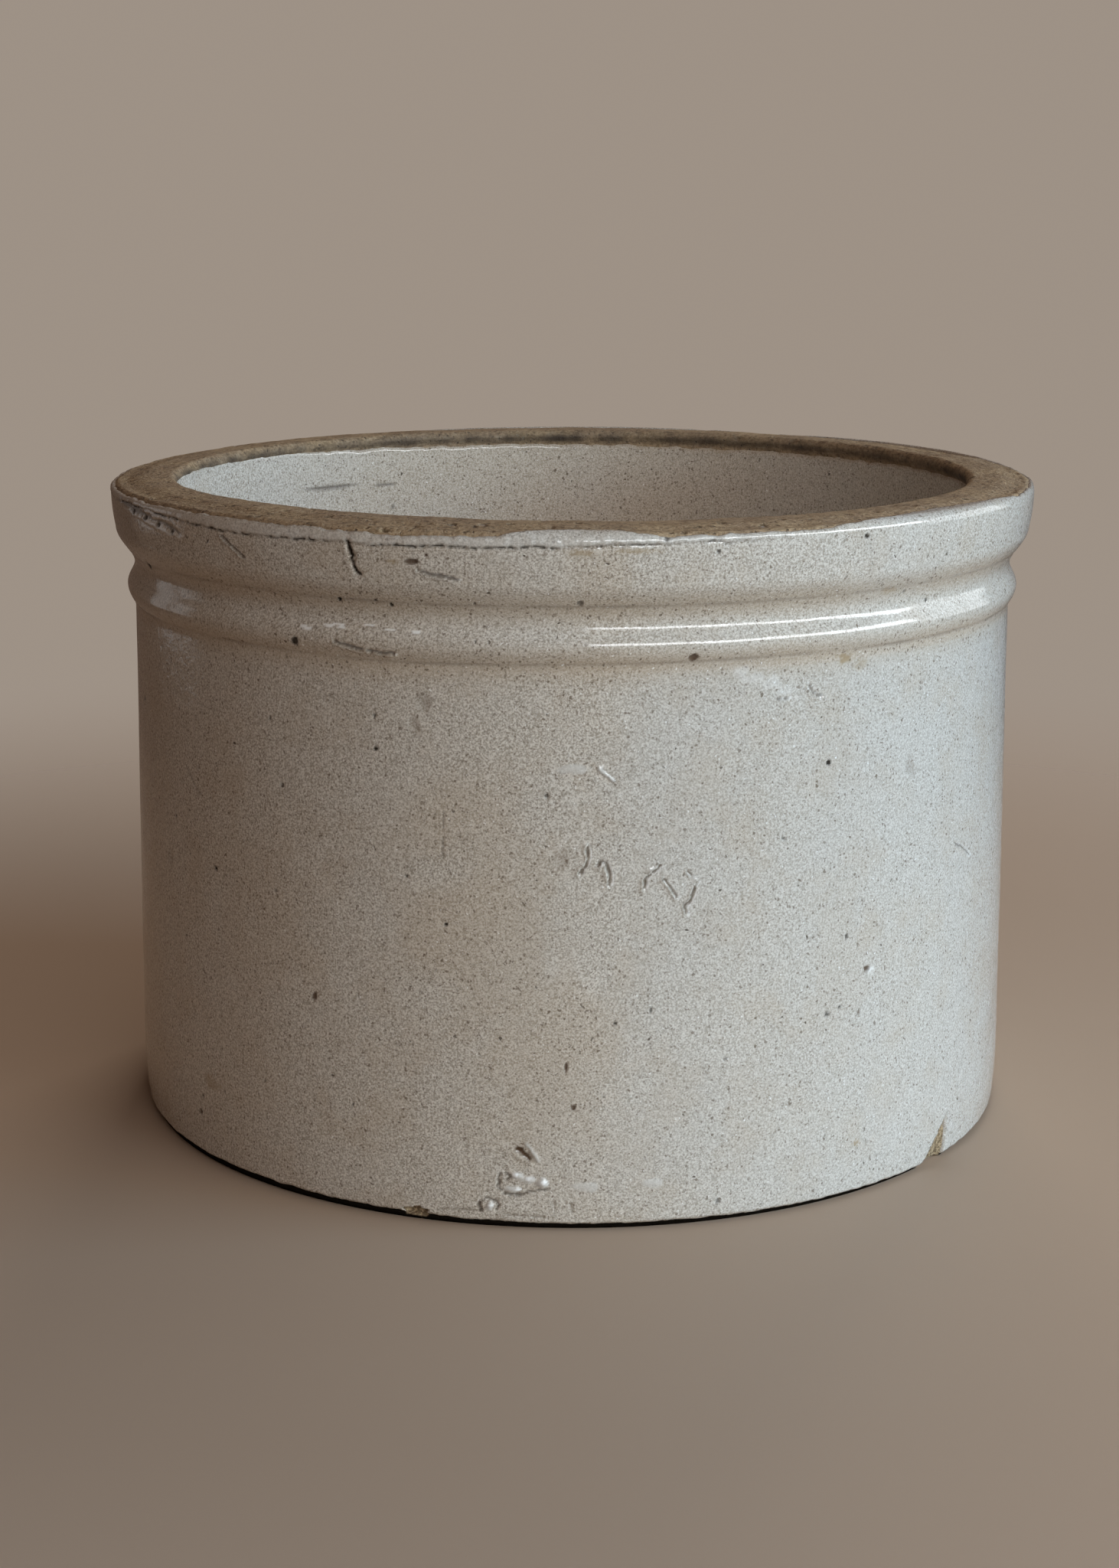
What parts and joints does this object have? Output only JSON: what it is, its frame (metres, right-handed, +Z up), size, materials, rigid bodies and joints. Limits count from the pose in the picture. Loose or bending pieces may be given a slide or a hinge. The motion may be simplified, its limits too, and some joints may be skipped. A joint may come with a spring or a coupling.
{
  "type": "ceramic crock fermenter",
  "caption": "Low open stoneware crock with a flat rim and beaded neck, and loose half-moon weight stones that hold a ferment under its brine.",
  "frame": {"origin": "centre of the crock's underside, on the surface it stands on", "axes": "+Z up along the crock's axis, +X across the gap between the weight stones towards the right-hand stone, +Y away from the viewer"},
  "size_m": [0.28, 0.28, 0.1935],
  "materials": {
    "glazed_stoneware": "gloss",
    "bare_stoneware": "matte"
  },
  "bodies": {
    "crock": {"crock_body": "glazed_stoneware"},
    "right_stone": {"weight_stone_right": "bare_stoneware"},
    "left_stone": {"weight_stone_left": "bare_stoneware"}
  },
  "joints": [
    {"name": "right_stone_lift", "type": "slide", "parent": "crock", "child": "right_stone", "axis": [0, 0, 1], "range_m": [0, 0.2]},
    {"name": "left_stone_lift", "type": "slide", "parent": "crock", "child": "left_stone", "axis": [0, 0, 1], "range_m": [0, 0.2]}
  ]
}
